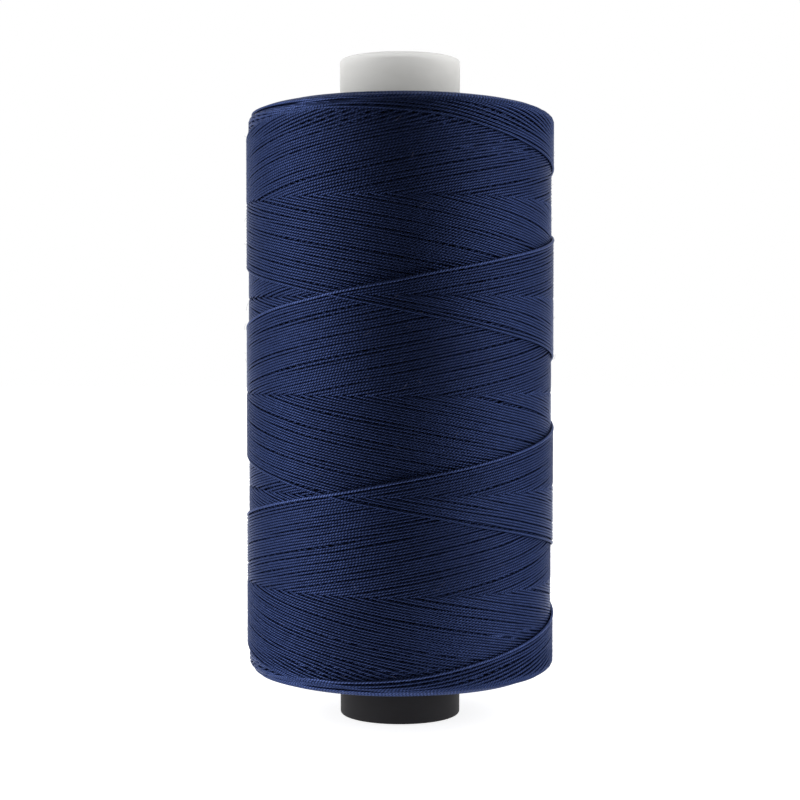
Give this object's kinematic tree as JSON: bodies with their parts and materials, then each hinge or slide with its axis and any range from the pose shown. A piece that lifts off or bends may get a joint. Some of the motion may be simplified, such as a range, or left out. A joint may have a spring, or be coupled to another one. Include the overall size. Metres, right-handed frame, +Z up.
{
  "type": "spool of thread",
  "caption": "Parallel spool of navy cotton sewing thread, cross-wound on a straight two-tone plastic core with a through bore for a spool pin.",
  "frame": {"origin": "centre of the core's lower rim, on the surface that the spool stands on", "axes": "+Z up the core's axis, from the dark base to the off-white end; +X to the right of the side that faces -Y"},
  "size_m": [0.033, 0.033, 0.0704],
  "materials": {
    "tube_plastic": "off-white moulded polystyrene, satin",
    "base_plastic": "charcoal grey moulded polystyrene, satin",
    "thread": "navy mercerised cotton thread, three-ply, cross-wound"
  },
  "bodies": {
    "root": {"core_tube": "tube_plastic", "core_base": "base_plastic", "thread_package": "thread", "outer_turns": "thread"}
  },
  "joints": []
}
